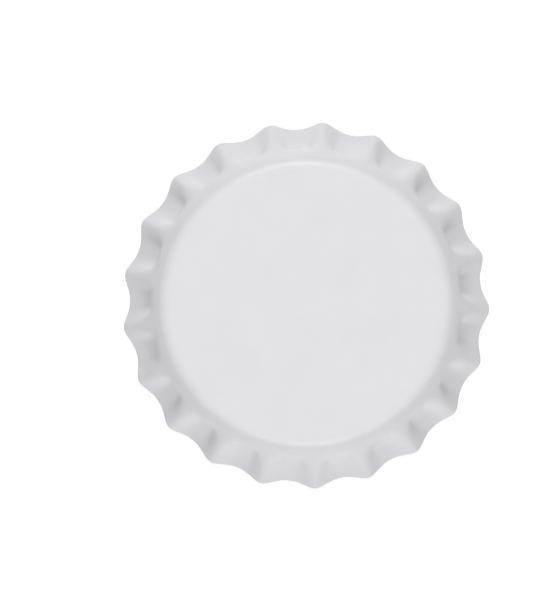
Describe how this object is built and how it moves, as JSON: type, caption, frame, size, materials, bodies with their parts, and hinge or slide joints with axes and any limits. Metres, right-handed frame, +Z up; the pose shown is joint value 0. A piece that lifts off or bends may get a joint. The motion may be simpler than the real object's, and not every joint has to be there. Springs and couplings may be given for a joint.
{
  "type": "crown bottle cap",
  "caption": "Uncrimped crown bottle cap: a white lacquered pressed steel shell with a flat panel, rounded corner and flared fluted skirt, and a sealing liner inside.",
  "frame": {"origin": "centre of the cap on the plane that its rim stands on", "axes": "+Z up through the middle of the panel, +X through the crest between two flutes"},
  "size_m": [0.032, 0.032, 0.006],
  "materials": {
    "lacquered_steel": "white baked lacquer, satin gloss",
    "liner_compound": "moulded compound, slightly translucent off-white"
  },
  "bodies": {
    "root": {"shell": "lacquered_steel", "liner": "liner_compound"}
  },
  "joints": []
}
